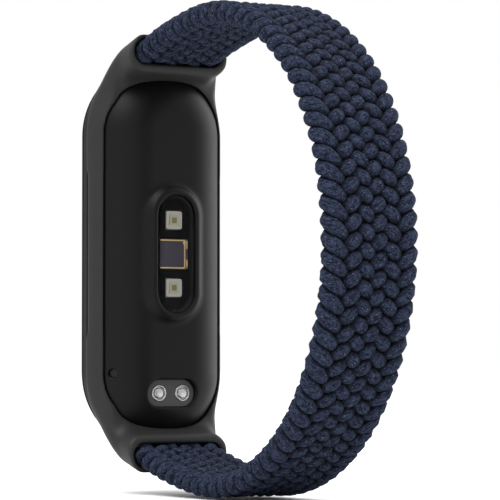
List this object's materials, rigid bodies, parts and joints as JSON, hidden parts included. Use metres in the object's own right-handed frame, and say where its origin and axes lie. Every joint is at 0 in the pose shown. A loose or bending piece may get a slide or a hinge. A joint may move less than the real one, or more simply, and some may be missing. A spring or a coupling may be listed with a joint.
{
  "type": "fitness tracker band",
  "caption": "Pill-shaped fitness tracker with a glass front and optical heart rate sensor, held in a soft cradle on a closed braided elastic wrist loop.",
  "frame": {"origin": "on the resting plane below the middle of the object's box", "axes": "+Z along the tracker's length, upwards when worn display outward and charging contacts down; +X across the band; the display faces -Y and the far side of the loop is at +Y"},
  "size_m": [0.0184, 0.0534, 0.0576],
  "materials": {
    "holder_rubber": "satin moulded",
    "braid_yarn": "plaited speckled yarn",
    "core_rubber": "matt",
    "clamp_steel": "stamped",
    "housing_plastic": "fine satin grain",
    "seal_adhesive": "matt",
    "cover_glass": "polished, blacked out from behind",
    "touch_film": "clear film",
    "display_panel": "gloss",
    "flex_film": "amber film",
    "frame_alloy": "die-cast",
    "board_laminate": "solder mask",
    "can_steel": "tinned",
    "chip_resin": "matt resin",
    "battery_pouch": "foil",
    "sprung_bronze": "gold plated",
    "window_glass": "polished, smoked",
    "baffle_plastic": "matt",
    "led_frame": "white moulded frame",
    "led_phosphor": "clear yellow resin",
    "detector_silicon": "polished chip",
    "plate_plastic": "matt",
    "contact_steel": "turned and plated",
    "magnet_nickel": "nickel plated",
    "motor_steel": "drawn",
    "ferrite": "matt",
    "tungsten_alloy": "sintered"
  },
  "bodies": {
    "strap": {"holder_frame": "holder_rubber", "braided_band": "braid_yarn", "elastic_core": "core_rubber", "upper_end_clamp": "clamp_steel", "lower_end_clamp": "clamp_steel"},
    "tracker": {"rear_housing": "housing_plastic", "glass_seal": "seal_adhesive", "front_glass": "cover_glass", "touch_layer": "touch_film", "display_module": "display_panel", "display_flex": "flex_film", "inner_frame": "frame_alloy", "main_board": "board_laminate", "shield_can": "can_steel", "board_chips": "chip_resin", "battery_cell": "battery_pouch", "battery_tab": "flex_film", "antenna": "sprung_bronze", "sensor_board": "board_laminate", "sensor_window": "window_glass", "light_baffle": "baffle_plastic", "led_upper": "led_frame", "led_lower": "led_frame", "led_phosphors": "led_phosphor", "light_detector": "detector_silicon", "detector_pads": "sprung_bronze", "contact_plate": "plate_plastic", "charging_contacts": "contact_steel", "contact_springs": "sprung_bronze", "charging_magnets": "magnet_nickel", "microphone": "can_steel", "port_mesh": "can_steel", "motor_case": "motor_steel", "motor_base": "motor_steel", "motor_magnet": "ferrite", "motor_shaft": "motor_steel"},
    "motor_rotor": {"motor_weight": "tungsten_alloy"}
  },
  "joints": [
    {"name": "tracker_release", "type": "slide", "parent": "strap", "child": "tracker", "axis": [0, -1, 0], "range_m": [0, 0.012]},
    {"name": "motor_spin", "type": "hinge", "parent": "tracker", "child": "motor_rotor", "pos_m": [0, -0.02061, 0.04399], "axis": [0, -1, 0], "continuous": true}
  ]
}
